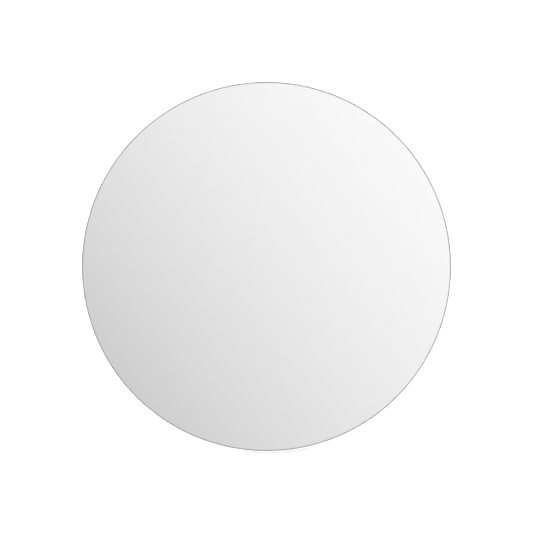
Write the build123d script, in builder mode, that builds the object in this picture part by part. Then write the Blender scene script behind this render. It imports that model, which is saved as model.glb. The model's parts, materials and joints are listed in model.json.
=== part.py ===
from build123d import *
import math
import os

os.makedirs("parts", exist_ok=True)

# A round frameless mirror for a shop counter. The glass is taped to a smaller backing board. A pressed
# steel leg folds out behind it on a pin hinge, and a brace with a sliding pin stops the leg when it is
# open. Everything behind the glass stays inside its outline, seen square to the mirror face.
#
# Row frame: +X right and +Z up for a person looking into the mirror, which faces -Y and leans back.
# The origin is on the counter, under the middle of the outline. Dimensions are in mm and degrees.

# ---- Driving dimensions ----
lean_angle = 15.0  # mirror face, back from the vertical
opening_angle = 25.0  # leg, away from the board, at its stop
glass_radius = 150.0
glass_thickness = 4.0
arris = 1.0  # ground 45 degree edge on both faces of the glass
silver_thickness = 0.1
paint_thickness = 0.2
tape_thickness = 1.2
board_radius = 128.0
board_thickness = 9.0
ground_clearance = 1.5  # between the glass and the counter

pivot_height = 62.0  # hinge axis above the glass centre, along the face
pivot_standoff = 8.0  # hinge axis behind the board
brace_length = 62.0  # hinge axis to brace pivot, and brace pivot to sliding pin

leg_sheet = 1.5
panel_inside = 7.2  # leg panel's inner face, behind the hinge axis
flange_reach = 6.5  # leg flanges, from the hinge axis towards the board
leg_top_half = 28.1
leg_foot_half = 43.0
shoulder_start = 22.0  # distances down the leg from the hinge axis
shoulder_end = 134.0
arch_top = 146.0
toe_end = 199.0
arch_half = 31.0
boot_wall = 1.6
boot_top = 190.0

hinge_pin_radius = 2.5
brace_pin_radius = 2.0
running_clearance = 0.05
screw_radius = 1.5
screw_head_radius = 3.1
screw_head_height = 2.2
screw_length = 9.0  # under the head

# ---- Depths behind the front of the glass ----
silver_depth = glass_thickness
paint_depth = silver_depth + silver_thickness
tape_depth = paint_depth + paint_thickness
board_depth = tape_depth + tape_thickness
board_back = board_depth + board_thickness
pivot_depth = board_back + pivot_standoff
panel_outside = panel_inside + leg_sheet

# ---- Where the mirror stands ----
lean_sin = math.sin(math.radians(lean_angle))
lean_cos = math.cos(math.radians(lean_angle))
leg_angle = opening_angle - lean_angle  # leg, back from the vertical
leg_sin = math.sin(math.radians(leg_angle))
leg_cos = math.cos(math.radians(leg_angle))

centre_height = ground_clearance + glass_radius * lean_cos + (glass_thickness - arris) * lean_sin
pivot_z = centre_height + pivot_height * lean_cos - pivot_depth * lean_sin
boot_back = panel_outside + boot_wall
foremost = (glass_radius - arris) * lean_sin  # glass edge in front of the glass centre
pivot_behind = pivot_height * lean_sin + pivot_depth * lean_cos
heel_behind = (pivot_z + boot_back * leg_sin) * leg_sin / leg_cos + boot_back * leg_cos
centre_y = (foremost - pivot_behind - heel_behind) / 2
pivot_y = centre_y + pivot_behind


def height_on_face(depth, world_z):
    """Distance up the mirror face, from its centre, of the point at this depth and height."""
    return (world_z - centre_height + depth * lean_sin) / lean_cos


# Looking at the back of the mirror: x right, y up the face, z backwards.
rear = Plane(origin=(0, centre_y, centre_height), x_dir=(-1, 0, 0), z_dir=(0, lean_cos, -lean_sin))
# Side view of the mirror: x is depth behind the glass front, y is up the face.
side = Plane(origin=(0, centre_y, centre_height), x_dir=(0, lean_cos, -lean_sin), z_dir=(1, 0, 0))
# The open leg from behind: y up the leg from the hinge axis, z away from the board.
leg_rear = Plane(origin=(0, pivot_y, pivot_z), x_dir=(-1, 0, 0), z_dir=(0, leg_cos, leg_sin))
# Side view of the leg: x away from the board, y up the leg.
leg_side = Plane(origin=(0, pivot_y, pivot_z), x_dir=(0, leg_cos, leg_sin), z_dir=(1, 0, 0))

brace_pivot = leg_side.from_local_coords((0, -brace_length, 0))
brace_tilt = math.radians(lean_angle + opening_angle)
# Side view of the brace: y up it, from the sliding pin towards its pivot on the leg.
brace_side = Plane(
    origin=brace_pivot,
    x_dir=(0, math.cos(brace_tilt), -math.sin(brace_tilt)),
    z_dir=(1, 0, 0),
)
# Section across the mirror: x right, y is depth behind the glass front.
section = Plane(origin=rear.origin, x_dir=(1, 0, 0), z_dir=rear.y_dir)
behind_mirror = Axis(rear.origin, rear.z_dir)
up_the_mirror = Axis(rear.origin, rear.y_dir)
behind_leg = Axis(leg_rear.origin, leg_rear.z_dir)
up_the_leg = Axis(leg_rear.origin, leg_rear.y_dir)

# The brace makes an isosceles triangle with the hinge axis, so its lower pin slides parallel to the board.
slide_open = pivot_height - 2 * brace_length * math.cos(math.radians(opening_angle))
slide_closed = pivot_height - 2 * brace_length
slide_middle = (slide_open + slide_closed) / 2
slide_travel = slide_open - slide_closed


def pan_screws(seat, spots):
    """Cross-head pan screws, one at each spot on the seat plane, driven against its normal."""
    head_round, tip_taper = 0.9, 1.1
    recess_long, recess_wide, recess_deep = 3.4, 0.9, 1.4
    along = Axis(seat.origin, seat.z_dir)
    with BuildPart() as screws:
        with BuildSketch(seat):
            with Locations(*spots):
                Circle(screw_head_radius)
        extrude(amount=screw_head_height)
        fillet(screws.faces().group_by(along)[-1].edges(), head_round)
        with BuildSketch(seat):
            with Locations(*spots):
                Circle(screw_radius)
        extrude(amount=-screw_length)
        chamfer(screws.faces().group_by(along)[0].edges(), tip_taper)
        with BuildSketch(seat.offset(screw_head_height)):
            with Locations(*spots):
                Rectangle(recess_long, recess_wide)
                Rectangle(recess_wide, recess_long)
        extrude(amount=-recess_deep, mode=Mode.SUBTRACT)
    return screws


# ---- Mirror: glass, its coatings and the tape that holds it ----
with BuildPart() as mirror_glass:
    with BuildSketch(rear):
        Circle(glass_radius)
    extrude(amount=glass_thickness)
    chamfer(mirror_glass.edges(), arris)
mirror_glass.part.label = "mirror_glass"
export_step(mirror_glass.part, "parts/mirror_glass.step")

with BuildPart() as silver_layer:
    with BuildSketch(rear.offset(silver_depth)):
        Circle(glass_radius - arris)
    extrude(amount=silver_thickness)
silver_layer.part.label = "silver_layer"
export_step(silver_layer.part, "parts/silver_layer.step")

paint_margin = 0.4
with BuildPart() as backing_paint:
    with BuildSketch(rear.offset(paint_depth)):
        Circle(glass_radius - arris - paint_margin)
    extrude(amount=paint_thickness)
backing_paint.part.label = "backing_paint"
export_step(backing_paint.part, "parts/backing_paint.step")

tape_width = 19.0
tape_pitch = 50.0
tape_lengths = {-1.5: 150.0, -0.5: 215.0, 0.5: 215.0, 1.5: 150.0}  # by column, in pitches from the middle
with BuildPart() as mounting_tape:
    with BuildSketch(rear.offset(tape_depth)):
        for column, length in tape_lengths.items():
            with Locations((column * tape_pitch, 0)):
                Rectangle(tape_width, length)
    extrude(amount=tape_thickness)
mounting_tape.part.label = "mounting_tape"
export_step(mounting_tape.part, "parts/mounting_tape.step")

# ---- Backing board, with a pilot hole for each screw ----
bracket_sheet = 2.0
track_sheet = 1.5
hinge_screws = [(x, pivot_height + y) for x in (-13.0, 13.0) for y in (-10.0, 10.0)]
track_screws = [(x, slide_middle + y) for x in (-9.5, 9.5) for y in (-7.5, 7.5)]
foot_screws = [(-18.0, -99.0), (0.0, -109.0), (18.0, -99.0)]
pilot_depth = 7.9
pilot_slack = 0.03
hole_slack = 0.3
board_edge = 1.5  # chamfer round the back of the board
with BuildPart() as back_board:
    with BuildSketch(rear.offset(board_depth)):
        Circle(board_radius)
    extrude(amount=board_thickness)
    chamfer(back_board.faces().sort_by(behind_mirror)[-1].edges(), board_edge)
    with BuildSketch(rear.offset(board_back)):
        with Locations(*hinge_screws, *track_screws, *foot_screws):
            Circle(screw_radius + pilot_slack)
    extrude(amount=-pilot_depth, mode=Mode.SUBTRACT)
back_board.part.label = "back_board"
export_step(back_board.part, "parts/back_board.step")

# ---- Hinge bracket: a U-shaped pressing with an ear at each side ----
bracket_half = 25.0
bracket_base_half = 17.0  # up and down the board
ear_radius = 6.0
bracket_bend = 1.0  # inside its two bends
pin_fit = 0.025
with BuildPart() as hinge_bracket:
    with BuildSketch(side.offset(-bracket_half)):
        with Locations((board_back + bracket_sheet / 2, pivot_height)):
            Rectangle(bracket_sheet, 2 * bracket_base_half)
        with Locations((pivot_depth, pivot_height)):
            Circle(ear_radius)
        make_hull()
    extrude(amount=2 * bracket_half)
    base_face = hinge_bracket.faces().sort_by(behind_mirror)[0]
    fillet(base_face.edges().filter_by(up_the_mirror), bracket_bend + bracket_sheet)
    with BuildSketch(section.offset(pivot_height - 2 * bracket_base_half)) as hollow:
        with Locations((0, board_back + bracket_sheet + pivot_standoff)):
            Rectangle(2 * (bracket_half - bracket_sheet), 2 * pivot_standoff)
        fillet(hollow.vertices().group_by(Axis.Y)[0], bracket_bend)
    extrude(amount=4 * bracket_base_half, mode=Mode.SUBTRACT)
    with BuildSketch(side.offset(-bracket_half)):
        with Locations((pivot_depth, pivot_height)):
            Circle(hinge_pin_radius + pin_fit)
    extrude(amount=2 * bracket_half, mode=Mode.SUBTRACT)
    with BuildSketch(rear.offset(board_back)):
        with Locations(*hinge_screws):
            Circle(screw_radius + hole_slack)
    extrude(amount=bracket_sheet, mode=Mode.SUBTRACT)
hinge_bracket.part.label = "hinge_bracket"
export_step(hinge_bracket.part, "parts/hinge_bracket.step")

hinge_bracket_screws = pan_screws(rear.offset(board_back + bracket_sheet), hinge_screws)
hinge_bracket_screws.part.label = "hinge_bracket_screws"
export_step(hinge_bracket_screws.part, "parts/hinge_bracket_screws.step")

# ---- Hinge pin, and the clip on its end ----
ear_gap = 0.3  # between a fixed pressing and a moving one beside it
pin_head_height = 1.8
pin_head_round = 1.1
pin_end_chamfer = 0.4
clip_thickness = 0.8
clip_slack = 0.1
pin_end = 1.2  # pin beyond its clip
groove_ratio = 0.8  # of the pin's radius
clip_ratio = 1.9
clip_gap_ratio = 1.4  # of the groove's radius
hinge_pin_head = 4.4


def headed_pin(plane, radius, head_radius, grip):
    """A pin along the plane's normal, with its head and its clip groove at the ends of its half grip."""
    tail = grip + clip_thickness + pin_end
    with BuildPart() as pin:
        with BuildSketch(plane.offset(grip)):
            Circle(head_radius)
        extrude(amount=pin_head_height)
        fillet(pin.faces().sort_by(Axis.X)[-1].edges(), pin_head_round)
        with BuildSketch(plane.offset(-tail)):
            Circle(radius)
        extrude(amount=tail + grip)
        chamfer(pin.faces().sort_by(Axis.X)[0].edges(), pin_end_chamfer)
        with BuildSketch(plane.offset(-grip - clip_thickness)):
            Circle(clip_ratio * radius)
            Circle(groove_ratio * radius, mode=Mode.SUBTRACT)
        extrude(amount=clip_thickness, mode=Mode.SUBTRACT)
    return pin


def retaining_clip(plane, radius, grip):
    """A sprung C-clip in the groove of a headed_pin of this radius and grip."""
    groove_radius = groove_ratio * radius
    with BuildPart() as clip:
        with BuildSketch(plane.offset(-grip - clip_thickness + clip_slack / 2)):
            Circle(clip_ratio * radius)
            Circle(groove_radius, mode=Mode.SUBTRACT)
            with Locations((clip_ratio * radius / 2, 0)):
                Rectangle(clip_ratio * radius, clip_gap_ratio * groove_radius, mode=Mode.SUBTRACT)
        extrude(amount=clip_thickness - clip_slack)
    return clip


hinge_pin = headed_pin(leg_side, hinge_pin_radius, hinge_pin_head, leg_top_half + ear_gap)
hinge_pin.part.label = "hinge_pin"
export_step(hinge_pin.part, "parts/hinge_pin.step")

hinge_pin_clip = retaining_clip(leg_side, hinge_pin_radius, leg_top_half + ear_gap)
hinge_pin_clip.part.label = "hinge_pin_clip"
export_step(hinge_pin_clip.part, "parts/hinge_pin_clip.step")

# ---- Brace track: a raised channel whose slots guide the brace's lower pin ----
arm_half = 1.5  # half the brace arm's thickness
lug_inside = arm_half + ear_gap
lug_outside = lug_inside + track_sheet
track_size = (29.0, 27.0)
track_corner = 3.0
wall_corner = 4.0
wall_reach = 5.0  # track walls beyond the sliding pin, away from the board
wall_margin = 6.0  # track walls beyond the slot's ends
slot_slack = 0.15
with BuildPart() as brace_track:
    with BuildSketch(rear.offset(board_back)):
        with Locations((0, slide_middle)):
            RectangleRounded(*track_size, track_corner)
        with Locations(*track_screws):
            Circle(screw_radius + hole_slack, mode=Mode.SUBTRACT)
    extrude(amount=track_sheet)
    with BuildSketch(side.offset(lug_inside)) as wall:
        wall_depth = pivot_standoff + wall_reach
        with Locations((board_back + wall_depth / 2, slide_middle)):
            Rectangle(wall_depth, slide_travel + 2 * wall_margin)
        fillet(wall.vertices().group_by(Axis.X)[-1], wall_corner)
        with Locations((pivot_depth, slide_middle)):
            SlotCenterToCenter(
                slide_travel + 2 * slot_slack,
                2 * (brace_pin_radius + slot_slack),
                rotation=90,
                mode=Mode.SUBTRACT,
            )
    extrude(amount=track_sheet)
    mirror(about=Plane.YZ)
brace_track.part.label = "brace_track"
export_step(brace_track.part, "parts/brace_track.step")

brace_track_screws = pan_screws(rear.offset(board_back + track_sheet), track_screws)
brace_track_screws.part.label = "brace_track_screws"
export_step(brace_track_screws.part, "parts/brace_track_screws.step")

# ---- Foot bracket: a strip down the board, bent back level above the counter ----
foot_half = 26.0
foot_bracket_top = -89.0  # on the face
foot_sole = 3.0  # rubber under the flange
flange_run = 18.0
foot_spread = 19.0
foot_setback = 8.6  # foot axis behind the strip
bend_radius = 1.0  # inside the bend
strip_corner = 6.0
flange_corner = 4.0
strip_back = board_back + bracket_sheet
bend_inside = side.from_local_coords(
    (strip_back, height_on_face(strip_back, foot_sole + bracket_sheet), 0)
)
foot_y = bend_inside.Y + foot_setback
foot_stem_radius = 2.5
flange_tip = bend_inside.Y + flange_run
with BuildPart() as foot_bracket:
    with BuildSketch(side.offset(-foot_half)) as bent_strip:
        tip_top = side.to_local_coords((0, flange_tip, foot_sole + bracket_sheet))
        tip_under = side.to_local_coords((0, flange_tip, foot_sole))
        outer_bend = (board_back, height_on_face(board_back, foot_sole))
        inner_bend = (strip_back, height_on_face(strip_back, foot_sole + bracket_sheet))
        with BuildLine():
            Polyline(
                (board_back, foot_bracket_top),
                (strip_back, foot_bracket_top),
                inner_bend,
                (tip_top.X, tip_top.Y),
                (tip_under.X, tip_under.Y),
                outer_bend,
                close=True,
            )
        make_face()
        fillet(bent_strip.vertices().sort_by_distance(inner_bend)[0], bend_radius)
        fillet(bent_strip.vertices().sort_by_distance(outer_bend)[0], bend_radius + bracket_sheet)
    extrude(amount=2 * foot_half)
    fillet(foot_bracket.edges().filter_by(behind_mirror), strip_corner)
    fillet(foot_bracket.edges().filter_by(Axis.Z), flange_corner)
    with BuildSketch(rear.offset(board_back)):
        with Locations(*foot_screws):
            Circle(screw_radius + hole_slack)
    extrude(amount=bracket_sheet, mode=Mode.SUBTRACT)
    with BuildSketch(Plane.XY.offset(foot_sole)):
        with Locations((-foot_spread, foot_y), (foot_spread, foot_y)):
            Circle(foot_stem_radius)
    extrude(amount=bracket_sheet, mode=Mode.SUBTRACT)
foot_bracket.part.label = "foot_bracket"
export_step(foot_bracket.part, "parts/foot_bracket.step")

foot_bracket_screws = pan_screws(rear.offset(strip_back), foot_screws)
foot_bracket_screws.part.label = "foot_bracket_screws"
export_step(foot_bracket_screws.part, "parts/foot_bracket_screws.step")

# ---- Front feet: rubber buttons pulled up through the flange ----
foot_radius = 6.5
foot_edge = 0.9
foot_rim = 0.6
bulb_radius = 3.7
bulb_tip = 2.1
bulb_start = foot_sole + bracket_sheet
bulb_shoulder = bulb_start + 1.2
bulb_end = bulb_start + 3.6
foot_profile = [
    (0, 0),
    (foot_radius - foot_edge, 0),
    (foot_radius, foot_edge),
    (foot_radius, foot_sole - foot_rim),
    (foot_radius - foot_rim, foot_sole),
    (foot_stem_radius, foot_sole),
    (foot_stem_radius, bulb_start),
    (bulb_radius, bulb_start),
    (bulb_radius, bulb_shoulder),
    (bulb_tip, bulb_end),
    (0, bulb_end),
]
for name, foot_x in {"front_foot_left": -foot_spread, "front_foot_right": foot_spread}.items():
    with BuildPart() as front_foot:
        with BuildSketch(Plane(origin=(foot_x, foot_y, 0), x_dir=(1, 0, 0), z_dir=(0, -1, 0))):
            with BuildLine():
                Polyline(*foot_profile, close=True)
            make_face()
        revolve(axis=Axis((foot_x, foot_y, 0), (0, 0, 1)))
    front_foot.part.label = name
    export_step(front_foot.part, f"parts/{name}.step")

# ---- Leg: a pressed tray with an arch between its two toes ----
leg_corner_radii = {(shoulder_start, shoulder_end): 40.0, (arch_top,): 13.0, (toe_end,): 3.0}
press_radius = 3.0
rib_width = 9.0
rib_height = 1.2
rib_offset = 14.5
rib_top = 24.0
rib_bottom = 128.0
rib_wall = 1.2
rib_round = 0.9
bush_radius = 3.5
rivet_radius = 1.6
rivet_pitch = 20.0
clevis_back = panel_inside - track_sheet
rivet_spots = [(0, -brace_length - rivet_pitch / 2), (0, -brace_length + rivet_pitch / 2)]
rib_spots = [(x, -(rib_top + rib_bottom) / 2) for x in (-rib_offset, rib_offset)]
rib_length = rib_bottom - rib_top


def leg_tray(inset, height):
    """The leg's outline, moved inwards by inset, raised to height, and rounded along its outer edge."""
    top = flange_reach + 2 * inset
    right_side = [
        (leg_top_half, top),
        (leg_top_half, -shoulder_start),
        (leg_foot_half, -shoulder_end),
        (leg_foot_half, -toe_end),
        (arch_half, -toe_end),
        (arch_half, -arch_top),
    ]
    left_side = [(-x, y) for x, y in reversed(right_side)]
    with BuildPart() as tray:
        with BuildSketch(leg_rear.offset(-flange_reach)) as outline:
            with BuildLine():
                Polyline(*right_side, *left_side, close=True)
            make_face()
            for distances, radius in leg_corner_radii.items():
                bends = outline.vertices().filter_by(lambda v: -round(v.Y, 3) in distances)
                fillet(bends, radius)
            if inset:
                offset(amount=-inset)
        extrude(amount=height)
        panel_face = tray.faces().sort_by(behind_leg)[-1]
        fillet(panel_face.edges().sort_by(up_the_leg)[:-1], press_radius - inset)
    return tray


leg_blank = leg_tray(0, flange_reach + panel_outside)
leg_hollow = leg_tray(leg_sheet, flange_reach + panel_inside)
with BuildPart() as leg:
    add(leg_blank.part)
    with BuildSketch(leg_rear.offset(panel_outside)):
        with Locations(*rib_spots):
            SlotOverall(rib_length, rib_width, rotation=90)
    extrude(amount=rib_height)
    fillet(leg.faces().group_by(behind_leg)[-1].edges(), rib_round)
    add(leg_hollow.part, mode=Mode.SUBTRACT)
    with BuildSketch(leg_rear.offset(panel_inside)):
        with Locations(*rib_spots):
            SlotOverall(rib_length - 2 * rib_wall, rib_width - 2 * rib_wall, rotation=90)
    extrude(amount=rib_height, mode=Mode.SUBTRACT)
    # The flanges end in a round about the hinge axis, so that they clear the board as the leg opens.
    with BuildSketch(leg_side.offset(-leg_top_half)):
        with Locations((-flange_reach / 2, flange_reach / 2)):
            Rectangle(flange_reach, flange_reach)
        Circle(flange_reach, mode=Mode.SUBTRACT)
    extrude(amount=2 * leg_top_half, mode=Mode.SUBTRACT)
    with BuildSketch(leg_side.offset(-leg_top_half)):
        Circle(bush_radius)
    extrude(amount=2 * leg_top_half, mode=Mode.SUBTRACT)
    with BuildSketch(leg_rear.offset(panel_inside)):
        with Locations(*rivet_spots):
            Circle(rivet_radius)
    extrude(amount=leg_sheet, mode=Mode.SUBTRACT)
leg.part.label = "leg"
export_step(leg.part, "parts/leg.step")

# ---- Leg bushes: flanged nylon bearings between the leg and the hinge bracket ----
bush_flange_radius = 5.0
bush_inside = bracket_half + ear_gap / 2
flange_inside = leg_top_half - leg_sheet
for name, direction in {"leg_bush_left": -1, "leg_bush_right": 1}.items():
    with BuildPart() as leg_bush:
        with BuildSketch(leg_side.offset(direction * bush_inside)):
            Circle(bush_flange_radius)
        extrude(amount=direction * (flange_inside - bush_inside))
        with BuildSketch(leg_side.offset(direction * flange_inside)):
            Circle(bush_radius)
        extrude(amount=direction * leg_sheet)
        with BuildSketch(leg_side.offset(direction * bush_inside)):
            Circle(hinge_pin_radius + running_clearance)
        extrude(amount=direction * (leg_top_half - bush_inside), mode=Mode.SUBTRACT)
    leg_bush.part.label = name
    export_step(leg_bush.part, f"parts/{name}.step")

# ---- Leg boots: rubber caps on the toes, cut level with the counter ----
boot_rim = 0.7
boot_bottom = toe_end + 12.0  # before it is cut level
boot_length = boot_bottom - boot_top
boot_depth = flange_reach + panel_outside + 2 * boot_wall
boot_width = leg_foot_half - arch_half + 2 * boot_wall
toe_middle = (leg_foot_half + arch_half) / 2
for name, direction in {"leg_boot_left": 1, "leg_boot_right": -1}.items():
    with BuildPart() as leg_boot:
        with BuildSketch(leg_rear.offset(-flange_reach - boot_wall)):
            with Locations((direction * toe_middle, -(boot_top + boot_bottom) / 2)):
                Rectangle(boot_width, boot_length)
        extrude(amount=boot_depth)
        fillet(leg_boot.edges().filter_by(up_the_leg), press_radius + boot_wall)
        split(bisect_by=Plane.XY, keep=Keep.TOP)
        fillet(leg_boot.faces().sort_by(Axis.Z)[-1].edges(), boot_rim)
        add(leg_blank.part, mode=Mode.SUBTRACT)
    leg_boot.part.label = name
    export_step(leg_boot.part, f"parts/{name}.step")

# ---- Brace clevis: two lugs riveted inside the leg's panel ----
lug_radius = 4.5
lug_base = 13.5
clevis_size = (11.0, 30.0)
clevis_corner = 3.0
with BuildPart() as brace_clevis:
    with BuildSketch(leg_rear.offset(clevis_back)):
        with Locations((0, -brace_length)):
            RectangleRounded(*clevis_size, clevis_corner)
        with Locations(*rivet_spots):
            Circle(rivet_radius, mode=Mode.SUBTRACT)
    extrude(amount=track_sheet)
    with BuildSketch(leg_side.offset(lug_inside)):
        with Locations((0, -brace_length)):
            Circle(lug_radius)
        with Locations((clevis_back + track_sheet / 2, -brace_length)):
            Rectangle(track_sheet, lug_base)
        make_hull()
        with Locations((0, -brace_length)):
            Circle(brace_pin_radius, mode=Mode.SUBTRACT)
    extrude(amount=track_sheet)
    mirror(about=Plane.YZ)
brace_clevis.part.label = "brace_clevis"
export_step(brace_clevis.part, "parts/brace_clevis.step")

rivet_head_radius = 3.2
rivet_head_height = 1.5
rivet_head_round = 1.3
rivet_tail_radius = 2.5
rivet_tail_height = 0.8
with BuildPart() as brace_clevis_rivets:
    with BuildSketch(leg_rear.offset(panel_outside)):
        with Locations(*rivet_spots):
            Circle(rivet_head_radius)
    extrude(amount=rivet_head_height)
    fillet(brace_clevis_rivets.faces().group_by(behind_leg)[-1].edges(), rivet_head_round)
    with BuildSketch(leg_rear.offset(clevis_back - rivet_tail_height)):
        with Locations(*rivet_spots):
            Circle(rivet_tail_radius)
    extrude(amount=rivet_tail_height)
    with BuildSketch(leg_rear.offset(clevis_back)):
        with Locations(*rivet_spots):
            Circle(rivet_radius)
    extrude(amount=panel_outside - clevis_back)
brace_clevis_rivets.part.label = "brace_clevis_rivets"
export_step(brace_clevis_rivets.part, "parts/brace_clevis_rivets.step")

# ---- Brace: a flat arm, its pivot rivet in the clevis and its sliding pin in the track ----
arm_width = 8.0
arm_edge = 0.4
pivot_head_radius = 3.3
pivot_head_height = 1.1
pivot_head_round = 0.8
with BuildPart() as brace_pivot_pin:
    with BuildSketch(brace_side.offset(-lug_outside - pivot_head_height)):
        Circle(pivot_head_radius)
    extrude(amount=2 * (lug_outside + pivot_head_height))
    fillet(brace_pivot_pin.edges(), pivot_head_round)
    with BuildSketch(brace_side.offset(-lug_outside)):
        Circle(pivot_head_radius)
        Circle(brace_pin_radius, mode=Mode.SUBTRACT)
    extrude(amount=2 * lug_outside, mode=Mode.SUBTRACT)
brace_pivot_pin.part.label = "brace_pivot_pin"
export_step(brace_pivot_pin.part, "parts/brace_pivot_pin.step")

with BuildPart() as brace_arm:
    with BuildSketch(brace_side.offset(-arm_half)):
        with Locations((0, -brace_length / 2)):
            SlotCenterToCenter(brace_length, arm_width, rotation=90)
    extrude(amount=2 * arm_half)
    chamfer(brace_arm.faces().filter_by(Axis.X).edges(), arm_edge)
    with BuildSketch(brace_side.offset(-arm_half)):
        Circle(brace_pin_radius + running_clearance)
        with Locations((0, -brace_length)):
            Circle(brace_pin_radius + pin_fit)
    extrude(amount=2 * arm_half, mode=Mode.SUBTRACT)
brace_arm.part.label = "brace_arm"
export_step(brace_arm.part, "parts/brace_arm.step")

slide_pin_head = 3.3
slide_side = Plane(
    origin=brace_side.from_local_coords((0, -brace_length, 0)),
    x_dir=brace_side.x_dir,
    z_dir=brace_side.z_dir,
)
brace_slide_pin = headed_pin(slide_side, brace_pin_radius, slide_pin_head, lug_outside + ear_gap)
brace_slide_pin.part.label = "brace_slide_pin"
export_step(brace_slide_pin.part, "parts/brace_slide_pin.step")

brace_slide_clip = retaining_clip(slide_side, brace_pin_radius, lug_outside + ear_gap)
brace_slide_clip.part.label = "brace_slide_clip"
export_step(brace_slide_clip.part, "parts/brace_slide_clip.step")
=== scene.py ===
"""A round frameless countertop mirror on its folding leg, in a plain white studio.

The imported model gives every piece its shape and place, and only the glass is made again here. This script
gives each piece its material, and adds the floor, the lights and the camera. Lengths are in metres, in the
row frame: +Z is up and the mirror faces -Y.
"""

import json
import math

import bpy
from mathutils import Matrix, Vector


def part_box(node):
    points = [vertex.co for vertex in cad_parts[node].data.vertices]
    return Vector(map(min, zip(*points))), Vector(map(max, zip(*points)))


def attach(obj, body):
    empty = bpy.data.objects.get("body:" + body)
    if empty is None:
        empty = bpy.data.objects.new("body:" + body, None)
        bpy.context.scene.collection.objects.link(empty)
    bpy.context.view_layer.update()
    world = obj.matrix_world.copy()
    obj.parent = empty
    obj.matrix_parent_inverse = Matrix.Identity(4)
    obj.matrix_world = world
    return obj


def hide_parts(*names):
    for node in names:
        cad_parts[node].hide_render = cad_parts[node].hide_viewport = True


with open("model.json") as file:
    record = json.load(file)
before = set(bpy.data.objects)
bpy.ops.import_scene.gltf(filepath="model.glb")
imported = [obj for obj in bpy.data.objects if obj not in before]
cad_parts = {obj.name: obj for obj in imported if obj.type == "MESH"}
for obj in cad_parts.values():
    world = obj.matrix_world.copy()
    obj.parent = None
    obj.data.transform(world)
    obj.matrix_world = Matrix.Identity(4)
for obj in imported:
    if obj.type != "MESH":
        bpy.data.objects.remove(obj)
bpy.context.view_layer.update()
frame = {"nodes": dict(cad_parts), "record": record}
nodes = frame["nodes"]

# ---- Places, from the frame ----
MM = 0.001
LEAN = math.radians(15.0)  # mirror face, back from the vertical
GLASS_THICKNESS = 4 * MM
ARRIS = 1 * MM

glass_low, glass_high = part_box("mirror_glass")
BEHIND = Vector((0.0, math.cos(LEAN), -math.sin(LEAN)))  # from the face into the mirror
UP_FACE = Vector((0.0, math.sin(LEAN), math.cos(LEAN)))
RIGHT = Vector((1.0, 0.0, 0.0))
glass_middle = (glass_low + glass_high) / 2
face_centre = glass_middle - BEHIND * (GLASS_THICKNESS / 2)
glass_radius = (glass_high.x - glass_low.x) / 2


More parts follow.
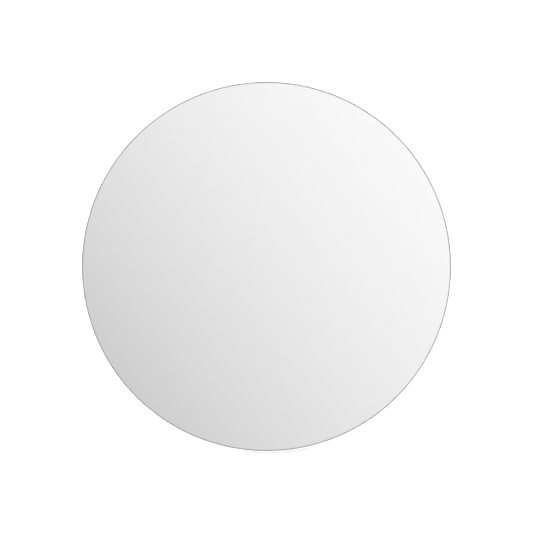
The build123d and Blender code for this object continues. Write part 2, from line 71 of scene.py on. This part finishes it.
# ---- Node helpers ----
class Tree:
    """Adds nodes to one material or world, each with its settings and its inputs in one call."""

    def __init__(self, owner):
        owner.use_nodes = True
        self.tree = owner.node_tree
        self.tree.nodes.clear()

    def put(self, socket, value):
        if isinstance(value, bpy.types.NodeSocket):
            self.tree.links.new(value, socket)
        elif hasattr(socket.default_value, "__len__") and not hasattr(value, "__len__"):
            socket.default_value = [value] * 3 + [1.0] * (len(socket.default_value) - 3)
        elif hasattr(value, "__len__") and len(socket.default_value) == 4 and len(value) == 3:
            socket.default_value = (*value, 1.0)
        else:
            socket.default_value = value

    def add(self, kind, inputs=None, **settings):
        node = self.tree.nodes.new(kind)
        for name, value in settings.items():
            setattr(node, name, value)
        for name, value in (inputs or {}).items():
            self.put(node.inputs[name], value)
        return node

    def math(self, operation, *values, clamp=False):
        node = self.add("ShaderNodeMath", operation=operation, use_clamp=clamp)
        for socket, value in zip(node.inputs, values):
            self.put(socket, value)
        return node.outputs[0]

    def dot(self, vector, direction):
        inputs = {0: vector, 1: tuple(direction)}
        return self.add("ShaderNodeVectorMath", inputs, operation="DOT_PRODUCT").outputs["Value"]

    def place(self, stretch=(1.0, 1.0, 1.0), turn=(0.0, 0.0, 0.0)):
        """The row frame's coordinates, in metres, turned and then stretched."""
        here = self.add("ShaderNodeTexCoord").outputs["Object"]
        return self.add("ShaderNodeMapping", {"Vector": here, "Scale": stretch, "Rotation": turn}).outputs[0]

    def noise(self, size, detail=2.0, roughness=0.5, stretch=(1.0, 1.0, 1.0), turn=(0.0, 0.0, 0.0)):
        """Noise from 0 to 1 whose blobs are about this size."""
        inputs = {"Vector": self.place(stretch, turn), "Scale": 1.0 / size}
        inputs.update({"Detail": detail, "Roughness": roughness})
        return self.add("ShaderNodeTexNoise", inputs).outputs["Fac"]

    def grains(self, size, smooth=0.6):
        """Rounded grains of this size, high in their middles."""
        inputs = {"Vector": self.place(), "Scale": 1.0 / size, "Smoothness": smooth}
        cells = self.add("ShaderNodeTexVoronoi", inputs, feature="SMOOTH_F1")
        return self.math("SUBTRACT", 1.0, cells.outputs["Distance"])

    def spread(self, value, low, high, start=0.0, end=1.0):
        """value, taken from start..end to low..high, and held there."""
        inputs = {"Value": value, "From Min": start, "From Max": end, "To Min": low, "To Max": high}
        return self.add("ShaderNodeMapRange", inputs, clamp=True).outputs[0]

    def share(self, value, start, end):
        """How far value has come from start to end: 0 to 1, and held there."""
        return self.spread(value, 0.0, 1.0, start, end)

    def mix(self, share, first, second):
        """The number between first and second."""
        return self.add("ShaderNodeMix", {0: share, 2: first, 3: second}).outputs[0]

    def blend(self, share, first, second):
        """The colour between first and second."""
        node = self.add("ShaderNodeMix", data_type="RGBA")
        self.put(node.inputs[0], share)
        self.put(node.inputs[6], first)
        self.put(node.inputs[7], second)
        return node.outputs[2]

    def rounded(self, radius):
        """The surface's normal, with every sharp edge rounded by this radius."""
        return self.add("ShaderNodeBevel", {"Radius": radius}, samples=6).outputs[0]

    def bump(self, height, depth, strength=1.0, normal=None):
        """The normal, roughened by height, which runs from 0 to 1 over this depth."""
        inputs = {"Height": height, "Distance": depth, "Strength": strength}
        if normal is not None:
            inputs["Normal"] = normal
        return self.add("ShaderNodeBump", inputs).outputs[0]

    def wear_and_highlight_edge(self, radius):
        """1 on sharp edges, fading over about this radius, and 0 on faces."""
        geometry = self.add("ShaderNodeNewGeometry")
        inputs = {0: self.rounded(radius), 1: geometry.outputs["Normal"]}
        same = self.add("ShaderNodeVectorMath", inputs, operation="DOT_PRODUCT").outputs["Value"]
        return self.spread(same, 1.0, 0.0, 0.85, 0.995)

    def surface(self, **inputs):
        shader = self.add("ShaderNodeBsdfPrincipled", {k.replace("_", " "): v for k, v in inputs.items()})
        self.tree.links.new(shader.outputs[0], self.add("ShaderNodeOutputMaterial").inputs["Surface"])
        return shader


def new_material(name):
    material = bpy.data.materials.new(name)
    return material, Tree(material)


def from_face_centre(tree):
    """The way from the middle of the glass's front to the shaded point."""
    inputs = {0: tree.place(), 1: tuple(face_centre)}
    return tree.add("ShaderNodeVectorMath", inputs, operation="SUBTRACT").outputs[0]


def disc_depth(tree):
    """Depth of the shaded point behind the glass's front."""
    return tree.dot(from_face_centre(tree), BEHIND)


def disc_radius(tree):
    """Distance of the shaded point from the disc's axis."""
    offset = from_face_centre(tree)
    across, up = tree.dot(offset, RIGHT), tree.dot(offset, UP_FACE)
    squares = tree.math("ADD", tree.math("MULTIPLY", across, across), tree.math("MULTIPLY", up, up))
    return tree.math("SQRT", squares)


# ---- Materials of the mirror ----
SILVER = 0.88  # share of the light that the silvering sends back
GLASS_IOR = 1.52


def polished_material():
    """Clear float glass, with the faint uneven gloss that wiping leaves."""
    material, tree = new_material("float_glass")
    strokes = tree.noise(35 * MM, 4.0, 0.6, stretch=(1.0, 1.0, 0.35))
    smears = tree.spread(strokes, 0.0, 0.012, 0.5, 0.8)
    tree.surface(Base_Color=(1.0, 1.0, 1.0), Roughness=smears, IOR=GLASS_IOR, Transmission_Weight=1.0)
    return material


def silvered_material():
    """The back of the glass, where the silvering meets it: the surface that mirrors."""
    material, tree = new_material("silvered_glass")
    tree.surface(Base_Color=(SILVER, SILVER, SILVER), Metallic=1.0, Roughness=0.0)
    return material


def ground_material():
    """Ground glass edge: frosted and finely gritty, pale on its arrises and greener on the wall between."""
    material, tree = new_material("ground_glass")
    off_middle = tree.math("ABSOLUTE", tree.math("SUBTRACT", disc_depth(tree), GLASS_THICKNESS / 2))
    wall_half, seam_half = GLASS_THICKNESS / 2 - ARRIS, 0.1 * MM
    arris = tree.share(off_middle, wall_half - seam_half, wall_half + seam_half)
    grit = tree.noise(0.25 * MM, 3.0, 0.6)
    tone = tree.share(tree.noise(9 * MM, 3.0), 0.35, 0.65)
    wall_colour = tree.blend(tone, (0.27, 0.325, 0.305), (0.33, 0.39, 0.365))
    arris_colour = tree.blend(tone, (0.58, 0.585, 0.582), (0.625, 0.63, 0.627))
    wall_roughness, arris_roughness = tree.spread(grit, 0.24, 0.38, 0.3, 0.7), 0.5
    tree.surface(
        Base_Color=tree.blend(arris, wall_colour, arris_colour),
        Roughness=tree.mix(arris, wall_roughness, arris_roughness),
        IOR=GLASS_IOR,
        Normal=tree.bump(grit, 0.02 * MM, 0.4),
    )
    return material


def silver_material():
    """The silvering's own thin layer, seen as a bright line between the glass and the paint."""
    material, tree = new_material("silvering")
    tarnish = tree.spread(tree.noise(6 * MM, 4.0, 0.7), 0.0, 0.25, 0.55, 0.8)
    colour = tree.blend(tarnish, (SILVER, SILVER, SILVER), (0.80, 0.76, 0.70))
    tree.surface(Base_Color=colour, Metallic=1.0, Roughness=tree.spread(tarnish, 0.01, 0.1, 0.0, 0.25))
    return material


def backing_paint_material():
    """Grey paint, curtain-coated over the silvering: faint streaks up the back, and a little orange peel."""
    material, tree = new_material("backing_paint")
    streaks = tree.noise(3 * MM, 3.0, 0.6, stretch=(1.0, 0.04, 0.04))
    patches = tree.noise(45 * MM, 3.0, 0.55)
    peel = tree.noise(1.6 * MM, 2.0, 0.5)
    specks = tree.share(tree.noise(0.5 * MM, 1.0), 0.68, 0.74)
    tone = tree.math("ADD", tree.math("MULTIPLY", streaks, 0.25), tree.math("MULTIPLY", patches, 0.75))
    colour = tree.blend(tree.share(tone, 0.35, 0.65), (0.105, 0.118, 0.116), (0.135, 0.149, 0.146))
    height = tree.math("ADD", peel, tree.math("MULTIPLY", specks, 0.6))
    tree.surface(
        Base_Color=tree.blend(tree.math("MULTIPLY", specks, 0.3), colour, (0.22, 0.24, 0.235)),
        Roughness=tree.spread(patches, 0.32, 0.46, 0.3, 0.7),
        Normal=tree.bump(height, 0.05 * MM, 0.5),
        Coat_Weight=0.15,
        Coat_Roughness=0.25,
    )
    return material


def foam_tape_material():
    """White closed-cell foam, seen only as a line between the glass and the board."""
    material, tree = new_material("foam_tape")
    cells = tree.grains(0.35 * MM)
    tree.surface(
        Base_Color=tree.blend(tree.noise(5 * MM), (0.70, 0.70, 0.67), (0.80, 0.80, 0.78)),
        Roughness=tree.spread(cells, 0.75, 0.95),
        Normal=tree.bump(cells, 0.12 * MM, 0.6),
    )
    return material


def board_material():
    """Fibreboard with a pebbled black laminate on its back, and a brown sealed edge, slightly furry."""
    material, tree = new_material("black_laminate")
    board_low, board_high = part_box("back_board")
    rim = 1.2 * MM  # where the sealed edge shows instead of the laminate
    edge = tree.math("GREATER_THAN", disc_radius(tree), (board_high.x - board_low.x) / 2 - rim)
    pebble = tree.grains(1.5 * MM, 0.7)
    fibre = tree.noise(0.5 * MM, 4.0, 0.65)
    board_front, board_back = 6 * MM, 15 * MM  # depths behind the glass's front
    through = tree.share(disc_depth(tree), board_front, board_back)
    haze = tree.noise(38 * MM, 4.0, 0.6)
    strokes = tree.noise(7 * MM, 5.0, 0.7, stretch=(0.25, 1.0, 1.0), turn=(0.0, 0.5, 0.0))
    rubs = tree.share(strokes, 0.60, 0.72)
    face = tree.blend(tree.share(haze, 0.35, 0.7), (0.009, 0.009, 0.0095), (0.016, 0.016, 0.017))
    face = tree.blend(tree.math("MULTIPLY", rubs, 0.3), face, (0.05, 0.05, 0.05))
    off_core = tree.math("ABSOLUTE", tree.math("MULTIPLY_ADD", through, 2.0, -1.0))
    core = tree.math("SUBTRACT", 1.0, off_core)  # the board's middle is paler
    paleness = tree.math("ADD", tree.math("MULTIPLY", fibre, 0.7), tree.math("MULTIPLY", core, 0.3))
    side = tree.blend(paleness, (0.036, 0.027, 0.019), (0.108, 0.080, 0.056))
    smooth = tree.spread(haze, 0.36, 0.52, 0.3, 0.7)
    furry = tree.spread(fibre, 0.70, 0.88)
    tree.surface(
        Base_Color=tree.blend(edge, face, side),
        Roughness=tree.mix(edge, smooth, furry),
        Normal=tree.bump(tree.mix(edge, pebble, fibre), 0.22 * MM, 0.8, tree.rounded(0.5 * MM)),
        Specular_IOR_Level=0.32,
    )
    return material


# ---- Materials of the stand ----
def powder_coat_material():
    """Fine-textured black powder coat on pressed steel, painted lighter along its edges: partly worn coat,
    partly a painted highlight.
    """
    material, tree = new_material("black_powder_coat")
    texture = tree.noise(1.3 * MM, 2.5, 0.6)
    swell = tree.noise(5 * MM, 2.0, 0.5)
    haze = tree.noise(28 * MM, 4.0, 0.6)
    patches = tree.spread(tree.noise(6 * MM, 4.0, 0.7), 0.15, 1.0, 0.40, 0.60)
    # Sharp edges painted lighter: partly the coat worn thin, partly a painted highlight along them.
    wear_and_highlight = tree.math("MULTIPLY", tree.wear_and_highlight_edge(1.3 * MM), patches)
    colour = tree.blend(tree.share(haze, 0.3, 0.7), (0.017, 0.017, 0.018), (0.027, 0.027, 0.028))
    height = tree.math("ADD", texture, tree.math("MULTIPLY", swell, 0.5))
    tree.surface(
        # The pale colour laid on the edges is both wear and painted highlight.
        Base_Color=tree.blend(tree.math("MULTIPLY", wear_and_highlight, 0.6), colour, (0.17, 0.17, 0.175)),
        Roughness=tree.spread(haze, 0.30, 0.44, 0.3, 0.7),
        Normal=tree.bump(height, 0.19 * MM, 0.8, tree.rounded(0.35 * MM)),
        Specular_IOR_Level=0.5,
    )
    return material


def zinc_material(name, bright, least_roughness):
    """Zinc-plated steel: satin, faintly drawn in one direction, with a slight passivation tint."""
    material, tree = new_material(name)
    drawn = tree.noise(0.5 * MM, 3.0, 0.6, stretch=(1.0, 1.0, 0.05))
    grain = tree.noise(0.4 * MM)
    cloud = tree.noise(7 * MM, 4.0, 0.6)
    dull = tuple(0.86 * channel for channel in bright)
    colour = tree.blend(tree.share(cloud, 0.32, 0.68), dull, bright)
    tint = tree.spread(tree.noise(12 * MM, 2.0), 0.0, 0.22, 0.45, 0.7)
    height = tree.math("ADD", tree.math("MULTIPLY", drawn, 0.6), tree.math("MULTIPLY", grain, 0.4))
    tree.surface(
        Base_Color=tree.blend(tint, colour, (0.62, 0.60, 0.48)),
        Metallic=1.0,
        Roughness=tree.spread(cloud, least_roughness, least_roughness + 0.13, 0.3, 0.7),
        Normal=tree.bump(height, 0.02 * MM, 0.45, tree.rounded(0.25 * MM)),
    )
    return material


def turned_steel_material():
    """Bright turned steel, with fine rings round the pins' axis."""
    material, tree = new_material("turned_steel")
    inputs = {"Vector": tree.place(), "Scale": 1.0 / (1.6 * MM), "Distortion": 0.4, "Detail": 2.0}
    rings = tree.add("ShaderNodeTexWave", inputs, bands_direction="X").outputs["Fac"]
    cloud = tree.noise(3 * MM, 3.0)
    tree.surface(
        Base_Color=tree.blend(cloud, (0.50, 0.49, 0.48), (0.64, 0.63, 0.62)),
        Metallic=1.0,
        Roughness=tree.spread(cloud, 0.16, 0.30, 0.3, 0.7),
        Normal=tree.bump(rings, 0.008 * MM, 0.5, tree.rounded(0.15 * MM)),
    )
    return material


def spring_steel_material():
    """Dark phosphated spring steel, slightly oily."""
    material, tree = new_material("phosphated_spring_steel")
    grain = tree.noise(0.3 * MM, 3.0, 0.6)
    tree.surface(
        Base_Color=tree.blend(grain, (0.045, 0.042, 0.040), (0.10, 0.095, 0.09)),
        Metallic=0.7,
        Roughness=tree.spread(grain, 0.34, 0.52, 0.3, 0.7),
        Normal=tree.bump(grain, 0.02 * MM, 0.5, tree.rounded(0.12 * MM)),
    )
    return material


def nylon_material():
    """Natural moulded nylon: off-white and a little translucent."""
    material, tree = new_material("nylon")
    cloud = tree.noise(2.5 * MM, 3.0)
    tree.surface(
        Base_Color=tree.blend(cloud, (0.72, 0.70, 0.62), (0.80, 0.78, 0.71)),
        Roughness=tree.spread(cloud, 0.38, 0.52, 0.3, 0.7),
        Normal=tree.bump(tree.noise(0.4 * MM), 0.02 * MM, 0.5, tree.rounded(0.2 * MM)),
        Subsurface_Weight=0.15,
        Subsurface_Scale=0.0015,
    )
    return material


def rubber_material():
    """Moulded black rubber: fine-grained, with pale dust and scuffs low down, where it meets the counter."""
    material, tree = new_material("black_rubber")
    grain = tree.grains(0.45 * MM, 0.7)
    cloud = tree.noise(6 * MM, 3.0, 0.55)
    height = tree.dot(tree.place(), (0.0, 0.0, 1.0))
    low = tree.spread(height, 1.0, 0.0, 0.2 * MM, 4.5 * MM)
    dust = tree.math("MULTIPLY", low, tree.spread(cloud, 0.0, 0.75, 0.4, 0.62))
    colour = tree.blend(cloud, (0.016, 0.016, 0.016), (0.028, 0.028, 0.028))
    tree.surface(
        Base_Color=tree.blend(tree.math("MULTIPLY", dust, 0.22), colour, (0.20, 0.19, 0.18)),
        Roughness=tree.spread(cloud, 0.62, 0.80, 0.3, 0.7),
        Normal=tree.bump(grain, 0.05 * MM, 0.5, tree.rounded(0.3 * MM)),
        Specular_IOR_Level=0.4,
    )
    return material


MATERIALS = {
    "glass": polished_material(),
    "silver": silver_material(),
    "backing_paint": backing_paint_material(),
    "foam_tape": foam_tape_material(),
    "board_laminate": board_material(),
    "black_coat": powder_coat_material(),
    "zinc_plate": zinc_material("zinc_plate", (0.57, 0.58, 0.59), 0.32),
    "screw_steel": zinc_material("bright_zinc", (0.66, 0.66, 0.67), 0.22),
    "pin_steel": turned_steel_material(),
    "clip_steel": spring_steel_material(),
    "nylon": nylon_material(),
    "rubber": rubber_material(),
}
for entry in frame["record"]["subparts"]:
    nodes[entry["node"]].material_slots[0].material = MATERIALS[entry["material_slot"]]


# ---- Mirror glass: a finely turned disc with a ground, arrised edge, whose back is the mirror ----
def rounded_corners(points, radius, steps):
    """The profile, with each corner between its ends replaced by a small round of short edges."""
    profile = [points[0]]
    for before, corner, after in zip(points, points[1:], points[2:]):
        back, on = (before - corner).normalized(), (after - corner).normalized()
        for step in range(steps + 1):
            t = step / steps
            profile.append(corner + back * radius * (1 - t) ** 2 + on * radius * t**2)
    return profile + [points[-1]]


def make_glass():
    """Rings of vertices along the glass's half section: front face, arris, edge, arris and silvered back."""
    turns, rings_on_face = 480, 5
    back = GLASS_THICKNESS - 0.02 * MM  # the silvering's own node starts just behind
    outer, inner = glass_radius, glass_radius - ARRIS
    flat = inner * 0.98  # radius of the outermost ring on each flat face
    edge_round, round_steps = 0.12 * MM, 3
    corners = [(flat, 0.0), (inner, 0.0), (outer, ARRIS), (outer, back - ARRIS), (inner, back), (flat, back)]
    edge = rounded_corners([Vector(corner) for corner in corners], edge_round, round_steps)
    rings = [flat * ring / rings_on_face for ring in range(1, rings_on_face)]
    profile = [(radius, 0.0) for radius in rings] + edge + [(radius, back) for radius in reversed(rings)]

    mesh = bpy.data.meshes.new("float_glass_disc")
    points, faces = [face_centre.copy()], []
    for radius, depth in profile:
        for turn in range(turns):
            angle = 2 * math.pi * turn / turns
            across = RIGHT * math.cos(angle) + UP_FACE * math.sin(angle)
            points.append(face_centre + across * radius + BEHIND * depth)
    points.append(face_centre + BEHIND * back)
    for turn in range(turns):
        after = (turn + 1) % turns
        faces.append((0, 1 + turn, 1 + after))
        for ring in range(len(profile) - 1):
            near, far = 1 + ring * turns, 1 + (ring + 1) * turns
            faces.append((near + turn, far + turn, far + after, near + after))
        last_ring = 1 + (len(profile) - 1) * turns
        faces.append((last_ring + turn, len(points) - 1, last_ring + after))
    mesh.from_pydata(points, [], faces)
    for material in (MATERIALS["glass"], silvered_material(), ground_material()):
        mesh.materials.append(material)
    for face in mesh.polygons:
        from_centre = face.center - face_centre
        depth = from_centre.dot(BEHIND)
        on_edge = (from_centre - BEHIND * depth).length > inner - edge_round
        face.use_smooth = on_edge
        face.material_index = 2 if on_edge else (1 if depth > back / 2 else 0)
    glass = bpy.data.objects.new("float_glass_disc", mesh)
    bpy.context.scene.collection.objects.link(glass)
    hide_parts("mirror_glass")
    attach(glass, "mirror")


make_glass()


# ---- Studio ----
FLOOR_HALF = 2.4
FLOOR_TONE = 0.70
FLOOR_GLOW = 0.49
LAMP_AIM = Vector((0.0, 0.0, 0.12))  # near the object's middle
FACE_SPAN = 0.123  # about the sine of the angle off the mirror's normal at which the camera sees its edge
DISC_SHARE = 0.6975  # the disc's diameter, as a share of the picture's width


def floor_material():
    """A white acrylic table, lit a little from below, as for pictures on plain white."""
    material, tree = new_material("studio_floor")
    mottle = tree.noise(60 * MM, 3.0)
    tree.surface(
        Base_Color=tree.blend(mottle, (FLOOR_TONE - 0.01,) * 3, (FLOOR_TONE,) * 3),
        Roughness=0.9,
        Specular_IOR_Level=0.1,
        Emission_Color=(1.0, 1.0, 1.0),
        Emission_Strength=FLOOR_GLOW,
    )
    return material


def keep_off_the_mirror(obj):
    """Hides this shape from reflections, so that the glass shows only the soft light round the object."""
    obj.visible_glossy = False
    obj.visible_transmission = False


def make_floor():
    corners = [(-1, -1), (1, -1), (1, 1), (-1, 1)]
    mesh = bpy.data.meshes.new("floor")
    mesh.from_pydata([(x * FLOOR_HALF, y * FLOOR_HALF, 0.0) for x, y in corners], [], [(0, 1, 2, 3)])
    mesh.materials.append(floor_material())
    floor = bpy.data.objects.new("floor", mesh)
    bpy.context.scene.collection.objects.link(floor)
    keep_off_the_mirror(floor)


def make_world():
    """White for the camera. Square on, the mirror shows a light that falls off smoothly from its upper right
    to its lower left. At other angles it shows a paler grey that changes more slowly, the same way."""
    bright_side = (RIGHT * 0.798 + UP_FACE * 0.603).normalized()
    middle, slope, bend = 0.810, 0.166, -0.0338  # square on: middle + slope * rho + bend * rho squared
    plain, rise, drift = 0.70, 0.14, 0.26  # elsewhere: plain + rise * height + drift * slant
    far_off, near_on = 0.80, 0.982  # cosines off the normal between which the one gives way to the other
    to_glass, to_matt, to_camera = 1.14, 0.62, 1.15  # strength, by what the light reaches

    world = bpy.data.worlds.new("studio")
    bpy.context.scene.world = world
    tree = Tree(world)
    direction = tree.add("ShaderNodeTexCoord").outputs["Generated"]
    slant = tree.dot(direction, bright_side)
    rho = tree.math("DIVIDE", slant, FACE_SPAN)  # -1 to 1 across the disc, from the camera
    rho = tree.math("SMOOTH_MAX", rho, -1.8, 0.8)
    rho = tree.math("MINIMUM", rho, 1.6)
    curve = tree.math("MULTIPLY", tree.math("MULTIPLY", rho, rho), bend)
    fall = tree.math("ADD", tree.math("MULTIPLY_ADD", rho, slope, middle), curve)
    height = tree.math("SMOOTH_MAX", tree.dot(direction, (0.0, 0.0, 1.0)), 0.0, 0.3)
    even = tree.math("MULTIPLY_ADD", height, rise, plain)
    even = tree.math("MULTIPLY_ADD", slant, drift, even)
    square_on = tree.share(tree.dot(direction, -BEHIND), far_off, near_on)
    square_on = tree.math("SMOOTH_MIN", square_on, 1.0, 0.1)
    light = tree.math("MULTIPLY", tree.mix(square_on, even, fall), to_glass)
    path = tree.add("ShaderNodeLightPath").outputs
    strength = tree.mix(path["Is Diffuse Ray"], light, to_matt)
    strength = tree.mix(path["Is Camera Ray"], strength, to_camera)
    background = tree.add("ShaderNodeBackground", {"Color": (1.0, 1.0, 1.0), "Strength": strength})
    tree.tree.links.new(background.outputs[0], tree.add("ShaderNodeOutputWorld").inputs["Surface"])


def make_light(name, place, size, power):
    """A soft rectangular lamp, turned to the object."""
    lamp = bpy.data.lights.new(name, "AREA")
    lamp.shape = "RECTANGLE"
    lamp.size, lamp.size_y = size
    lamp.energy = power
    light = bpy.data.objects.new(name, lamp)
    light.location = place
    light.rotation_euler = (LAMP_AIM - light.location).to_track_quat("-Z", "Y").to_euler()
    bpy.context.scene.collection.objects.link(light)
    return light


def make_lights():
    keep_off_the_mirror(make_light("front_left", (-1.4, -1.9, 0.75), (0.9, 1.0), 43.0))
    keep_off_the_mirror(make_light("front_right", (1.5, -1.8, 0.95), (0.9, 1.0), 44.0))
    make_light("overhead", (0.0, 0.2, 2.3), (2.4, 2.4), 14.0)
    make_light("rear_key", (-1.5, 1.5, 1.6), (2.4, 2.4), 70.0)
    make_light("rear_fill", (1.7, 1.0, 0.7), (1.0, 1.2), 10.0)


def make_camera():
    """On the mirror's normal, so that the disc shows as a true circle in the middle of the frame."""
    lens, sensor = 100.0, 36.0
    distance = 2 * glass_radius / DISC_SHARE * lens / sensor
    data = bpy.data.cameras.new("camera")
    data.lens = lens
    data.sensor_width = sensor
    camera = bpy.data.objects.new("camera", data)
    camera.location = face_centre - BEHIND * distance
    camera.rotation_euler = BEHIND.to_track_quat("-Z", "Y").to_euler()
    bpy.context.scene.collection.objects.link(camera)
    bpy.context.scene.camera = camera


make_floor()
make_world()
make_lights()
make_camera()
bpy.context.scene.view_settings.view_transform = "Standard"
